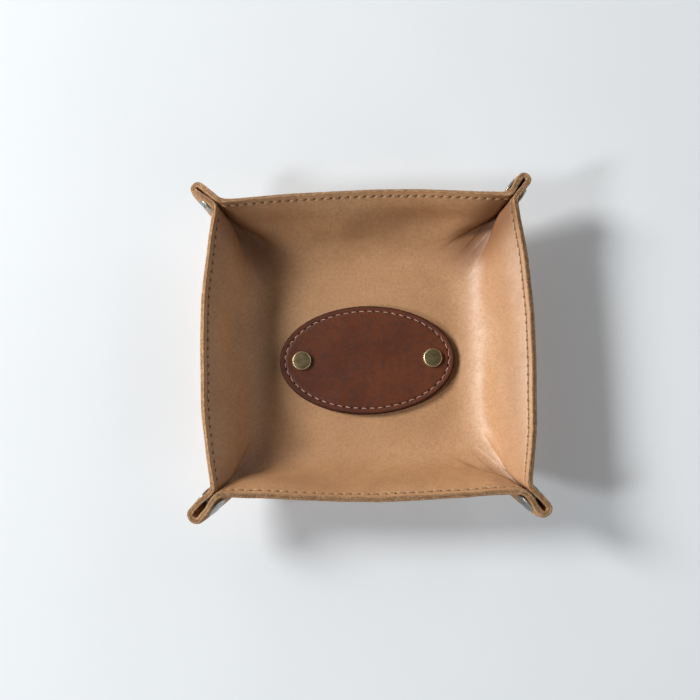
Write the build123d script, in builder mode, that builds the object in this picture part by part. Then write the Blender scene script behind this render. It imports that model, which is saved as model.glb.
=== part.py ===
from build123d import *
from math import acos, atan, cos, degrees, radians, sin, sqrt, tan
import os

os.makedirs("parts", exist_ok=True)

# Slab of leather: a grain-faced lining and an outer panel, stitched together round the edge
floor_length = 104.0
floor_width = 99.0
wall_slant = 36.0
panel_thickness = 1.25
lining_thickness = 1.25
glue_line = 0.1
blank_corner_radius = 7.0

# Shape that the slab takes when its corners are pinched, with angles in degrees
fold_radius = 9.0
neck_radius = 1.6
front_lean = 58.0
back_lean = 51.0
left_lean = 48.0
right_lean = 52.5
front_fold_bow = 2.0
back_fold_bow = 2.5
left_fold_bow = 0.8
right_fold_bow = 0.6
front_left_lean = 60.5
front_right_lean = 61.5
back_left_lean = 63.5
back_right_lean = 61.0
front_left_swing = 2.0
front_right_swing = 4.0
back_left_swing = -4.0
back_right_swing = 9.0
rim_cut_tilt = 17.0

# Half the opening inside each ear: at the floor, where the snap holds it, and at the rim
slit_at_floor = 3.6
slit_at_snap = 1.7
slit_at_neck_rim = 0.4
slit_at_tip_rim = 0.9
snap_zone = 6.0

# Snap fastener through the two legs of each ear
snap_along_ear = 10.2
snap_below_rim = 6.9
seat_depth = 0.15
fit_clearance = 0.05
cap_diameter = 9.6
cap_height = 1.5
cap_edge = 0.45
barrel_diameter = 3.0
clinch_diameter = 4.0
clinch_height = 0.3
socket_diameter = 8.6
socket_face_diameter = 7.0
socket_height = 1.6
socket_base = 0.5
socket_chamber_diameter = 4.7
socket_lip_diameter = 4.2
socket_lip_height = 0.3
stud_diameter = 8.2
stud_base = 0.7
nub_neck_diameter = 3.9
nub_head_diameter = 4.4
nub_head_height = 0.35
ring_diameter = 8.8
ring_height = 0.9
ring_edge = 0.35
ring_bore = 1.8
ring_mouth = 3.4
rolled_end_diameter = 3.6
rolled_end_height = 0.3

# Badge and the two rivets that hold it to the lining
badge_length = 84.6
badge_width = 53.0
badge_thickness = 2.8
badge_edge_radius = 0.9
badge_left = 0.8
badge_forward = 3.1
badge_turn = 0.8
rivet_inset = 10.7
rivet_cap_diameter = 9.0
rivet_cap_height = 1.9
rivet_cap_edge = 0.7
rivet_post_diameter = 3.0
rivet_head_height = 0.9
rivet_flange_diameter = 8.0
rivet_flange_height = 0.6

# Reach of cutting solids past what they cut
overrun = 12.0

# Values that follow from the sizes above
leather = lining_thickness + glue_line + panel_thickness
grain_floor = leather
half_length = floor_length / 2
half_width = floor_width / 2
corner_leans = [front_left_lean, front_right_lean, back_right_lean, back_left_lean]
rim_rise = max(wall_slant * sin(radians(lean)) for lean in corner_leans)
top_height = grain_floor + rim_rise + fold_radius / 3
seat_out = slit_at_snap + leather - seat_depth
seat_in = slit_at_snap + seat_depth
socket_floor = seat_in - socket_base
socket_face = seat_in - socket_height
lip_top = socket_face + socket_lip_height
nub_head = lip_top + fit_clearance
rivet_spacing = badge_length - rivet_inset * 2


def run_past_fold(height, lean, skin, bend_radius=fold_radius):
    """Level distance from the fold line to a surface that bends up from the floor to its lean."""
    angle = radians(lean)
    radius = bend_radius + skin
    level = height - grain_floor
    bend_top = bend_radius - radius * cos(angle)
    start = -bend_radius * tan(angle / 2)
    if level <= bend_top:
        turn = acos(min(1, (bend_radius - level) / radius))
        return start + radius * sin(turn)
    return start + radius * sin(angle) + (level - bend_top) / tan(angle)


def crease_lean(lean):
    """Slope of the fold along the bottom of an ear, from the lean of the walls beside it."""
    neck_slope = degrees(atan(tan(radians(lean)) / sqrt(2)))
    flat_turn = degrees(atan(1 / cos(radians(lean)))) - 45
    return neck_slope - flat_turn


class Corner:
    """A pinched corner: where it stands, how its walls lean there and where its ear points."""

    def __init__(self, name, x_side, y_side, lean, swing):
        self.name = name
        self.lean = lean
        self.fold = Vector(x_side * half_length, y_side * half_width)
        self.diagonal = Vector(x_side, y_side).normalized()
        self.turn = x_side * y_side
        self.swing = self.turn * swing
        self.rim_height = grain_floor + wall_slant * sin(radians(lean))
        self.snap_height = self.rim_height - snap_below_rim

    def heading(self, height):
        """Way the ear points, which swings from the diagonal at the floor to its way at the snap."""
        zone_bottom = self.snap_height - snap_zone / 2
        share = (height - grain_floor) / (zone_bottom - grain_floor)
        return self.diagonal.rotate(Axis.Z, self.swing * min(1, max(0, share)))

    def across(self, height, axis):
        """Way across the ear, towards the leg that continues the wall facing along an axis."""
        return self.heading(height).rotate(Axis.Z, self.turn * (90 if axis == "y" else -90))

    def neck(self, height):
        """Point of a level cut where the grain faces of the two walls would meet."""
        level = max(height, grain_floor)
        return self.fold + self.diagonal * (sqrt(2) * run_past_fold(level, self.lean, 0))

    def slit(self, height, at_rim):
        """Half the opening inside the ear, which narrows upwards and is even beside the snap."""
        zone_bottom = self.snap_height - snap_zone / 2
        zone_top = self.snap_height + snap_zone / 2
        if height < zone_bottom:
            share = max(0, height - grain_floor) / (zone_bottom - grain_floor)
            return slit_at_floor + (slit_at_snap - slit_at_floor) * share
        share = max(0, height - zone_top) / (self.rim_height - zone_top)
        return max(fit_clearance, slit_at_snap + (at_rim - slit_at_snap) * share)

    def tip(self, height, skin):
        """Point of a level cut where the two legs start to round into each other."""
        half_tip = self.slit(height, slit_at_tip_rim) + skin
        crease = crease_lean(self.lean)
        bend = sqrt(2) * fold_radius * tan(radians(self.lean) / 2) / tan(radians(crease) / 2)
        neck = self.neck(height)
        length = run_past_fold(height, crease, skin, bend) - (neck - self.fold).dot(self.diagonal)
        return neck + self.heading(height) * (length - half_tip * 3 / 4), half_tip

    def snap_plane(self):
        """Plane in the middle of the slit, square to the snap's axis, facing the cap."""
        heading = self.heading(self.snap_height)
        centre = self.neck(self.snap_height) + heading * snap_along_ear
        origin = Vector(centre.X, centre.Y, self.snap_height)
        return Plane(origin=origin, x_dir=heading, z_dir=self.across(self.snap_height, "y"))


class Wall:
    """One side: its outward axis, its lean half way along and how far its fold bows out."""

    def __init__(self, axis, side, lean, fold_bow, first, last):
        self.axis, self.lean, self.fold_bow = axis, lean, fold_bow
        self.first, self.last = first, last
        self.outward = Vector(side, 0) if axis == "x" else Vector(0, side)
        self.half_floor = half_length if axis == "x" else half_width
        self.half_along = half_width if axis == "x" else half_length

    def middle_reach(self, height, skin):
        return self.half_floor + self.fold_bow + run_past_fold(height, self.lean, skin)

    def corner_point(self, corner, height, skin):
        """Sharp meeting of the wall's face with the face of the ear's leg that continues it."""
        reach = self.half_floor + run_past_fold(height, corner.lean, skin)
        half_leg = corner.slit(height, slit_at_neck_rim) + skin
        leg = corner.neck(height) + corner.across(height, self.axis) * half_leg
        heading = corner.heading(height)
        return leg + heading * ((reach - leg.dot(self.outward)) / heading.dot(self.outward))

    def outline(self, height, skin):
        """Ends of a level cut of the wall, the starts of its bends and its bowed middle."""
        tangent = (neck_radius + leather - skin) / 2
        first = self.corner_point(self.first, height, skin)
        last = self.corner_point(self.last, height, skin)
        swell = self.middle_reach(height, skin) - (first + last).dot(self.outward) / 2
        bulge = (first + last) / 2 + self.outward * (2 * swell)
        start = first + (bulge - first).normalized() * tangent
        stop = last + (bulge - last).normalized() * tangent
        return first, start, bulge, stop, last


front_left = Corner("front_left", -1, -1, front_left_lean, front_left_swing)
front_right = Corner("front_right", 1, -1, front_right_lean, front_right_swing)
back_right = Corner("back_right", 1, 1, back_right_lean, back_right_swing)
back_left = Corner("back_left", -1, 1, back_left_lean, back_left_swing)
corners = [front_left, front_right, back_right, back_left]
walls = [
    Wall("y", -1, front_lean, front_fold_bow, front_left, front_right),
    Wall("x", 1, right_lean, right_fold_bow, front_right, back_right),
    Wall("y", 1, back_lean, back_fold_bow, back_right, back_left),
    Wall("x", -1, left_lean, left_fold_bow, back_left, front_left),
]


def skin_levels(skin):
    """Heights of the level cuts that a skin is lofted through."""
    radius = fold_radius + skin
    lean = sum(corner_leans) / len(corner_leans)
    bend = [grain_floor + fold_radius - radius * cos(radians(lean * k / 3)) for k in range(4)]
    snap_height = grain_floor + rim_rise - snap_below_rim
    zone = [snap_height - snap_zone / 2, snap_height + snap_zone / 2]
    return bend + [(bend[-1] + zone[0]) / 2] + zone + [top_height]


def skin_outline(height, skin):
    """Level face inside the surface that lies a skin's depth outside the grain face."""
    tangent = (neck_radius + leather - skin) / 2
    edges = []
    for k, wall in enumerate(walls):
        corner = wall.last
        following = walls[(k + 1) % len(walls)]
        first, start, bulge, stop, last = wall.outline(height, skin)
        turned, onward = following.outline(height, skin)[:2]
        tip, half_tip = corner.tip(height, skin)
        tip_in = tip + corner.across(height, wall.axis) * half_tip
        tip_out = tip + corner.across(height, following.axis) * half_tip
        leg_in = last + (tip_in - last).normalized() * min(tangent, (tip_in - last).length / 2)
        leg_out = turned + (tip_out - turned).normalized() * min(tangent, (tip_out - turned).length / 2)
        round_end = corner.heading(height) * half_tip
        edges += [
            Edge.make_bezier(start, bulge, stop),
            Edge.make_bezier(stop, last, leg_in),
            Edge.make_line(leg_in, tip_in),
            Edge.make_bezier(tip_in, tip_in + round_end, tip_out + round_end, tip_out),
            Edge.make_line(tip_out, leg_out),
            Edge.make_bezier(leg_out, turned, onward),
        ]
    return Pos(0, 0, height) * Face(Wire(edges))


def leather_block(skin):
    """Solid whose sides are the surface that lies a skin's depth outside the grain face."""
    return loft([skin_outline(height, skin) for height in skin_levels(skin)])


def rim_cutter(wall):
    """Solid above the rim of one wall, from one ear's middle to the next ear's middle."""
    slant = wall_slant - wall.fold_bow
    reach = wall.half_floor + wall.fold_bow + slant * cos(radians(wall.lean))
    middle = wall.outward * reach + Vector(0, 0, grain_floor + slant * sin(radians(wall.lean)))
    level, fall = cos(radians(rim_cut_tilt)), sin(radians(rim_cut_tilt))
    across_rim = wall.outward * level - Vector(0, 0, fall)
    up_rim = wall.outward * fall + Vector(0, 0, level)
    along = Vector(0, 0, 1).cross(wall.outward)
    ends = []
    for corner, side in ((wall.first, -1), (wall.last, 1)):
        run = wall_slant * cos(radians(corner.lean))
        end = wall.outward * (wall.half_floor + run) + Vector(0, 0, corner.rim_height)
        ends.append(Vector(side * (wall.half_along + run), (end - middle).dot(up_rim)))
    with BuildPart() as cutter:
        with BuildSketch(Plane(origin=middle, x_dir=along, z_dir=across_rim)):
            with BuildLine():
                rim = ThreePointArc(ends[0], (0, 0), ends[1])
                low = rim @ 0 - (rim % 0) * wall_slant
                high = rim @ 1 + (rim % 1) * wall_slant
                Line(low, rim @ 0)
                Line(rim @ 1, high)
                Polyline(high, (high.X, top_height), (low.X, top_height), low)
            make_face()
        extrude(amount=overrun * 2, both=True)
        with BuildSketch():
            with BuildLine():
                first = wall.first.neck(wall.first.rim_height)
                last = wall.last.neck(wall.last.rim_height)
                Polyline((0, 0), first, first + wall.first.heading(top_height) * wall_slant,
                         last + wall.last.heading(top_height) * wall_slant, last, (0, 0))
            make_face()
        extrude(amount=top_height + overrun * 2, mode=Mode.INTERSECT)
    return cutter.part


def ear_cutter(corner):
    """Solid above the falling rim of one ear and past its rounded tip."""
    crease = crease_lean(corner.lean)
    droop = 45 - crease
    leg = wall_slant * (1 - cos(radians(corner.lean)))
    neck = Vector(0, corner.rim_height)
    rim_way = Vector(cos(radians(droop)), -sin(radians(droop)))
    crease_way = Vector(cos(radians(crease)), sin(radians(crease)))
    centre = neck + rim_way * leg - crease_way * (sqrt(2) * blank_corner_radius)
    origin = corner.neck(corner.rim_height)
    heading = corner.heading(corner.rim_height)
    with BuildPart() as cutter:
        with BuildSketch(Plane(origin=origin, x_dir=heading, z_dir=heading.rotate(Axis.Z, -90))):
            with BuildLine():
                tip = CenterArc(centre, blank_corner_radius, crease, 45)
                under = tip @ 0 + Vector(sin(radians(crease)), -cos(radians(crease))) * overrun
                inward = neck - rim_way * overrun
                Line(tip @ 0, under)
                Polyline(under, (under.X + wall_slant, under.Y), (under.X + wall_slant, top_height + overrun),
                         (inward.X, top_height + overrun), inward, tip @ 1)
            make_face()
        extrude(amount=overrun, both=True)
    return cutter.part


def snap_space(corner):
    """Space that one snap fastener takes out of the leather: its holes and its pressed seats."""
    middle = corner.snap_plane()
    other = Plane(origin=middle.origin, x_dir=middle.x_dir, z_dir=-middle.z_dir)
    with BuildPart() as space:
        for plane, diameter, depth in (
            (middle, barrel_diameter, overrun), (other, barrel_diameter, overrun),
            (middle, socket_diameter, seat_in), (other, stud_diameter, seat_in),
            (middle.offset(seat_out), cap_diameter, overrun),
            (other.offset(seat_out), ring_diameter, overrun),
        ):
            with BuildSketch(plane):
                Circle(diameter / 2 + fit_clearance)
            extrude(amount=depth)
    return space.part


def domed_piece(radius, edge, top, inside):
    """Piece of revolution with a domed top, over the radii and heights of its inside corners."""
    with BuildPart() as piece:
        with BuildSketch(Plane.XZ):
            with BuildLine():
                dome = TangentArc((0, top), (radius, edge), tangent=(1, 0))
                Polyline(dome @ 1, *inside, dome @ 0)
            make_face()
        revolve(axis=Axis.Z)
    return piece.part


def turned_piece(*profile):
    """Piece of revolution from the radii and heights of the corners of its half section."""
    with BuildPart() as piece:
        with BuildSketch(Plane.XZ):
            with BuildLine():
                Polyline(*profile, close=True)
            make_face()
        revolve(axis=Axis.Z)
    return piece.part


def save_placed(node, pattern, place):
    """Write one node: a pattern drawn about the Z axis, set on a plane."""
    with BuildPart() as piece:
        with Locations(place.location):
            add(pattern)
    piece.part.label = node
    export_step(piece.part, f"parts/{node}.step")


outer_skin = leather_block(leather)
panel_inside = leather_block(leather - panel_thickness)
lining_outside = leather_block(lining_thickness)
grain_skin = leather_block(0)
trimmings = [rim_cutter(wall) for wall in walls] + [ear_cutter(corner) for corner in corners]
trimmings += [snap_space(corner) for corner in corners]

# Level planes of the badge, and the flanges of its rivets under the lining
badge_centre = Vector(-badge_left, -badge_forward, grain_floor)
badge_axis = Vector(1, 0).rotate(Axis.Z, badge_turn)
badge_seat = Plane(origin=badge_centre, x_dir=badge_axis, z_dir=(0, 0, 1))
badge_top = badge_seat.offset(badge_thickness)
flange_seat = badge_seat.offset(-lining_thickness)
rivet_places = [(-rivet_spacing / 2, 0), (rivet_spacing / 2, 0)]

# Outer panel: the layer that stands on the table and shows from outside
with BuildPart() as outer_panel:
    add(outer_skin)
    add(panel_inside, mode=Mode.SUBTRACT)
    for trimming in trimmings:
        add(trimming, mode=Mode.SUBTRACT)
    with BuildSketch(flange_seat):
        with Locations(*rivet_places):
            Circle(rivet_flange_diameter / 2 + fit_clearance)
    extrude(amount=-rivet_flange_height, mode=Mode.SUBTRACT)
outer_panel.part.label = "outer_panel"
export_step(outer_panel.part, "parts/outer_panel.step")

# Lining: the grain-faced layer that shows inside the tray
with BuildPart() as lining:
    add(lining_outside)
    add(grain_skin, mode=Mode.SUBTRACT)
    for trimming in trimmings:
        add(trimming, mode=Mode.SUBTRACT)
    with BuildSketch(flange_seat):
        with Locations(*rivet_places):
            Circle(rivet_post_diameter / 2 + fit_clearance)
    extrude(amount=lining_thickness, mode=Mode.SUBTRACT)
lining.part.label = "lining"
export_step(lining.part, "parts/lining.step")

# Badge: a thick oval of leather with rounded, burnished edges
with BuildPart() as badge:
    with BuildSketch(badge_seat):
        Ellipse(badge_length / 2, badge_width / 2)
    extrude(amount=badge_thickness)
    fillet(badge.faces().sort_by(Axis.Z)[-1].edges(), badge_edge_radius)
    with BuildSketch(badge_seat):
        with Locations(*rivet_places):
            Circle(rivet_post_diameter / 2 + fit_clearance)
    extrude(amount=badge_thickness, mode=Mode.SUBTRACT)
badge.part.label = "badge"
export_step(badge.part, "parts/badge.step")

# Rivets: a domed cap on the badge, pressed over the head of a post that starts under the lining
rivet_bore = rivet_post_diameter / 2 + fit_clearance
stem = lining_thickness + badge_thickness + rivet_head_height - fit_clearance
rivet_cap = domed_piece(rivet_cap_diameter / 2, rivet_cap_edge, rivet_cap_height, [
    (rivet_cap_diameter / 2, 0), (rivet_bore, 0), (rivet_bore, rivet_head_height), (0, rivet_head_height)])
rivet_post = turned_piece(
    (0, -rivet_flange_height), (rivet_flange_diameter / 2, -rivet_flange_height),
    (rivet_flange_diameter / 2, 0), (rivet_post_diameter / 2, 0), (rivet_post_diameter / 2, stem), (0, stem))
for side, (along, across) in zip(("left", "right"), rivet_places):
    shift = badge_axis * along
    save_placed(f"{side}_rivet_cap", rivet_cap, Plane(badge_top.origin + shift, badge_axis))
    save_placed(f"{side}_rivet_post", rivet_post, Plane(flange_seat.origin + shift, badge_axis))

# Snaps, drawn outwards from the middle of the slit: the cap's barrel is clinched in the socket,
# the ring's barrel is rolled over in the stud, and the stud's head sits behind the socket's lip
barrel = barrel_diameter / 2
hole = barrel + fit_clearance
snap_cap = domed_piece(cap_diameter / 2, seat_out + cap_edge, seat_out + cap_height, [
    (cap_diameter / 2, seat_out), (barrel, seat_out), (barrel, socket_floor),
    (clinch_diameter / 2, socket_floor), (clinch_diameter / 2, socket_floor - clinch_height),
    (0, socket_floor - clinch_height)])
snap_socket = turned_piece(
    (socket_diameter / 2, seat_in), (hole, seat_in), (hole, socket_floor),
    (socket_chamber_diameter / 2, socket_floor), (socket_chamber_diameter / 2, lip_top),
    (socket_lip_diameter / 2, lip_top), (socket_lip_diameter / 2, socket_face),
    (socket_face_diameter / 2, socket_face))
snap_stud = turned_piece(
    (stud_diameter / 2, -seat_in), (stud_diameter / 2, stud_base - seat_in),
    (nub_neck_diameter / 2, stud_base - seat_in), (nub_neck_diameter / 2, nub_head),
    (nub_head_diameter / 2, nub_head), (nub_head_diameter / 2, nub_head + nub_head_height),
    (rolled_end_diameter / 2 + fit_clearance, nub_head + nub_head_height),
    (rolled_end_diameter / 2 + fit_clearance, nub_head), (hole, nub_head), (hole, -seat_in))
snap_ring = turned_piece(
    (ring_mouth / 2, -seat_out - ring_height), (ring_diameter / 2 - ring_edge, -seat_out - ring_height),
    (ring_diameter / 2, -seat_out - ring_edge), (ring_diameter / 2, -seat_out), (barrel, -seat_out),
    (barrel, nub_head), (rolled_end_diameter / 2, nub_head),
    (rolled_end_diameter / 2, nub_head + rolled_end_height),
    (ring_bore / 2, nub_head + rolled_end_height), (ring_bore / 2, -seat_out))
for corner in corners:
    for kind, pattern in (("cap", snap_cap), ("socket", snap_socket), ("stud", snap_stud), ("ring", snap_ring)):
        save_placed(f"{corner.name}_snap_{kind}", pattern, corner.snap_plane())
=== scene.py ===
import math
import bpy
import numpy as np
from mathutils import Matrix, Vector


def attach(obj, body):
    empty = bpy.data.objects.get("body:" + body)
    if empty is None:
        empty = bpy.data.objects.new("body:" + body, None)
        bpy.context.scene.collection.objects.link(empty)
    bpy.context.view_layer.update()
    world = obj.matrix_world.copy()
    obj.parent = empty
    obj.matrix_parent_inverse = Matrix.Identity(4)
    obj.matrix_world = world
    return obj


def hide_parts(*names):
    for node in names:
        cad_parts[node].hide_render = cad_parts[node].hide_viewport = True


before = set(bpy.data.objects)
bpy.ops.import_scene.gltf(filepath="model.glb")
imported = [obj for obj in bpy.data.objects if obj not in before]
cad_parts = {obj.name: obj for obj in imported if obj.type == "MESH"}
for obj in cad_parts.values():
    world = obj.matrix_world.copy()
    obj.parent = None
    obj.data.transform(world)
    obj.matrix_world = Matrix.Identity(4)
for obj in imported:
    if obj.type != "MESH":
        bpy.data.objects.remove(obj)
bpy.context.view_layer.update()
scene = bpy.context.scene

MM = 0.001
TAU = 2 * math.pi

# Sizes, in millimetres: the floor between its folds, the walls and the leather
HALF_LENGTH, HALF_WIDTH = 52.0, 49.5
WALL_SLANT = 36.0
LAYER = 1.25
LEATHER = 2.6
FLOOR_TOP = LEATHER
BLANK_ROUND = 7.0
RIM_TILT = math.radians(17)

# Bends up from the floor, and the softer valleys of the corners
FOLD_RADIUS, RIGHT_FOLD_RADIUS = 20.0, 29.0
VALLEY_SOFTNESS = 13.0
CORNER_BEND = 0.43
ROUNDED_HEIGHT, ROUNDED_COLUMNS = 17.0, 58

# Ears: half the gap between their legs, how it closes with height, and the rounded tip
NECK_SLIT, FLOOR_SLIT = 0.3, 4.0
CLOSING_HEIGHT, CLOSING_POWER = 20.0, 0.9
FULL_GAP_DEPTH = 9.0
OPENING_RUN, RIM_OPENING_RUN, RIM_OPENING_DEPTH = 4.5, 6.5, 5.0
TIP_BLEND = 1.6
TIP_ROUND_FROM, TIP_ROUND_RUN = 12.0, 10.0
SNAP_ZONE = 6.0
SNAP_ALONG, SNAP_DROP = 10.2, 6.9

# Forming by hand: rims turned outwards, and hollows given by their wall, the place along it, the depth
# below its rim, half their length and depth, and the amount, where less than 0 is pressed outwards
FLARE_DEPTH, BROAD_FLARE = 8.0, 0.15
FORMED_HEIGHT = 9.0
HOLLOWS = [(2, 27, 15, 20, 8, -3.6), (2, -40, 13, 14, 7, -2.4), (2, -9, 11, 9, 7, 0.9),
           (0, -20, 12, 18, 7, -0.9), (0, 22, 13, 16, 8, -0.8),
           (1, -18, 17, 22, 9, 1.6), (1, 22, 15, 14, 8, 0.9), (3, 5, 14, 24, 9, -1.0)]

# Gentle unevenness of the walls: wave lengths and sizes, and where it begins over the table
SWELLS = ((52, .30), (44, .26), (33, .16), (27, .14), (19, .07), (16, .06))
SWELL_FROM, SWELL_RUN = 5.0, 12.0

# Rows of the meshes, and the distances from the edge that the map has for plain rows
FLOOR_AWAY, FOLD_AWAY, BEND_AWAY, BEND_ROW_AWAY, WALL_ROW_AWAY = 60.0, 40.0, 34.0, 0.5, 1.6
FLOOR_RINGS, HIDDEN_RINGS = (0.12, 0.3, 0.5, 0.68, 0.82, 0.92, 0.975), (0.5,)
BEND_ROWS, WALL_ROWS, HIDDEN_ROWS = 16, 16, 4
BEND_LEAN = math.radians(56)
FACE_STEPS = (6, 5.2, 4.5, 4, 3.6, 3.3, 3.05, 2.85, 2.7, 2.55, 2.4, 2.25, 2.1, 1.95, 1.75, 1.5, 1.2, 0.9,
              0.6, 0.4)
HIDDEN_STEP = 1.5
WORN_BEVEL, GLUED_BEVEL = 0.32, 0.13
FINE_FRAY, BROAD_FRAY, FRAY_LIMIT = 0.045, 0.03, -0.12

# Rim seam
STITCH_INSET, STITCH_PITCH = 2.4, 4.05
STITCH_SPAN = (0.17, 0.86)
HOLE_WIDTH = 0.62
LINE_DEPTH, LINE_WIDTH, SPOT_DEPTH, SPOT_WIDTH = 0.07, 0.55, 0.6, 0.36
HOLE_SHADE_WIDTH = 0.34
RIM_SLANT, RIM_JITTER = 0.24, 0.03
STITCH_SINK, EAR_SINK = 0.30, 0.08
FACE_STEP = 0.6

# Thread: points and spokes of each stitch, and how high its middle stands over its ends
STITCH_POINTS, SPOKES = 9, 10
STITCH_RISE = 0.42
RIM_THREAD_HALF = (0.33, 0.22)
BADGE_THREAD_HALF = (0.24, 0.2)

# Badge and its rivets
BADGE_CENTRE = (-0.8, -3.1)
BADGE_TURN = math.radians(0.8)
BADGE_HALF = (42.3, 26.5)
BADGE_THICK = 2.8
BADGE_ROUND = 0.9
BADGE_COLUMNS = 720
BADGE_SEAM_INSET, BADGE_PITCH = 2.75, 3.85
BADGE_STITCH_SPAN = (0.15, 0.83)
BADGE_LINE_DEPTH, BADGE_LINE_WIDTH = 0.22, 0.7
BADGE_HOLE_DEPTH, BADGE_HOLE_WIDTH, BADGE_HOLE_SPREAD = 0.4, 0.42, 0.35
BADGE_SLANT, BADGE_JITTER, BADGE_STITCH_SINK = 0.3, 0.02, 0.28
BADGE_INSETS = (5.0, 4.2, 3.7, 3.4, 3.2, 3.05, 2.9, 2.75, 2.6, 2.45, 2.3, 2.1, 1.8, 1.4, 1.1)
RIVET_OUT = 31.6

# Painted shade on the leather: darker on the right wall, and in the corners' valleys
SHADE_WALL_FROM, SHADE_WALL_RUN, SHADE_WALL_MIDDLE, SHADE_WALL_HALF, SHADE_WALL_SHARE = 50.0, 14.0, -2.0, 75.0, 0.45
VALLEY_SHADE_RUN_IN, VALLEY_SHADE_END, VALLEY_SHADE_FADE, PAINTED_SHADE_MOST = 16.0, 29.0, 8.0, 1.6


def unit(v):
    return v / np.maximum(np.linalg.norm(v, axis=-1, keepdims=True), 1e-12)


def turned(v, angle):
    """Vectors in the plane turned by an angle, each an array."""
    c, s = np.cos(angle), np.sin(angle)
    return np.stack([v[..., 0] * c - v[..., 1] * s, v[..., 0] * s + v[..., 1] * c], -1)


def dot(a, b):
    return (a * b).sum(-1)


def bell(distance, width):
    return np.exp(-(distance / width) ** 2)


def eased(share):
    """Smooth step, level below 0 and above 1."""
    share = np.clip(share, 0, 1)
    return share * share * (3 - 2 * share)


def run_past_fold(height, lean, skin, bend=FOLD_RADIUS):
    """Level distance from the fold line to a surface that bends up from the floor."""
    radius = bend + skin
    level = height - FLOOR_TOP
    bend_top = bend - radius * np.cos(lean)
    start = -bend * np.tan(lean / 2)
    turn = np.arccos(np.clip((bend - level) / radius, -1, 1))
    in_bend = start + radius * np.sin(turn)
    past = start + radius * np.sin(lean) + (level - bend_top) / np.tan(lean)
    return np.where(level <= bend_top, in_bend, past)


def crease_lean(lean):
    """Lean of the crease on the diagonal, between two walls of one lean."""
    return math.atan(math.tan(lean) / math.sqrt(2)) - (math.atan(1 / math.cos(lean)) - math.pi / 4)


class Corner:
    """A pinched corner: its folds, its ear with two legs, and the gap between them at each height."""

    def __init__(self, name, x_side, y_side, lean, swing, rounds, slits, tip_reach, shift=(0, 0)):
        self.name = name
        self.tip_reach = tip_reach
        self.rounds = dict(zip("xy", rounds))
        self.rim_slit, self.snap_slit = slits
        self.lean = math.radians(lean)
        self.fold = np.array([x_side * HALF_LENGTH + shift[0], y_side * HALF_WIDTH + shift[1]])
        self.diagonal = np.array([x_side, y_side]) / math.sqrt(2)
        self.turn = x_side * y_side
        self.swing = math.radians(self.turn * swing)
        self.rim_height = FLOOR_TOP + WALL_SLANT * math.sin(self.lean)
        self.snap_height = self.rim_height - SNAP_DROP
        self.crease = crease_lean(self.lean)
        self.zone_bottom = self.snap_height - SNAP_ZONE / 2

    def heading(self, h):
        """Way the ear points, which swings to its full angle below the snap."""
        share = np.clip((h - FLOOR_TOP) / (self.zone_bottom - FLOOR_TOP), 0, 1)
        return turned(np.broadcast_to(self.diagonal, h.shape + (2,)), self.swing * share)

    def across(self, h, axis):
        """Way from the ear's middle to the leg that joins the wall across an axis."""
        return turned(self.heading(h), self.turn * math.pi / 2 * (1 if axis == "y" else -1))

    def neck(self, h):
        run = run_past_fold(np.maximum(h, FLOOR_TOP), self.lean, 0)
        return self.fold + self.diagonal * (math.sqrt(2) * run)[..., None]

    def openness(self, h):
        return np.clip(1 - (h - FLOOR_TOP) / CLOSING_HEIGHT, 0, 1) ** CLOSING_POWER

    def neck_slit(self, h):
        return NECK_SLIT + (FLOOR_SLIT - NECK_SLIT) * self.openness(h)

    def tip_slit(self, h):
        share = np.clip((self.rim_height - h) / FULL_GAP_DEPTH, 0, 1)
        held = self.rim_slit + (self.snap_slit - self.rim_slit) * share
        return held + (FLOOR_SLIT - self.snap_slit) * self.openness(h)

    def tip_roundness(self, h):
        return np.clip((h - TIP_ROUND_FROM) / TIP_ROUND_RUN, 0, 1)

    def tip(self, h, skin):
        """Middle of the ear's round end, and half the distance between the two skins there."""
        half_tip = self.tip_slit(h) + skin
        bend = math.sqrt(2) * FOLD_RADIUS * math.tan(self.lean / 2) / math.tan(self.crease / 2)
        neck = self.neck(h)
        run = run_past_fold(h, self.crease, skin, bend)
        # The crease turns upright near the ear's end
        furthest = self.tip_reach + skin
        run = furthest - TIP_BLEND * np.logaddexp(0, (furthest - run) / TIP_BLEND)
        length = run - dot(neck - self.fold, self.diagonal)
        back = half_tip * (3 + self.tip_roundness(h)) / 4
        return neck + self.heading(h) * (length - back)[..., None], half_tip

    def bend_reach(self, axis, h, skin):
        """Length of the bend between a wall and its leg, on each side of their meeting."""
        return CORNER_BEND * (self.rounds[axis] + LEATHER - skin) + VALLEY_SOFTNESS * self.openness(h)


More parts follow.
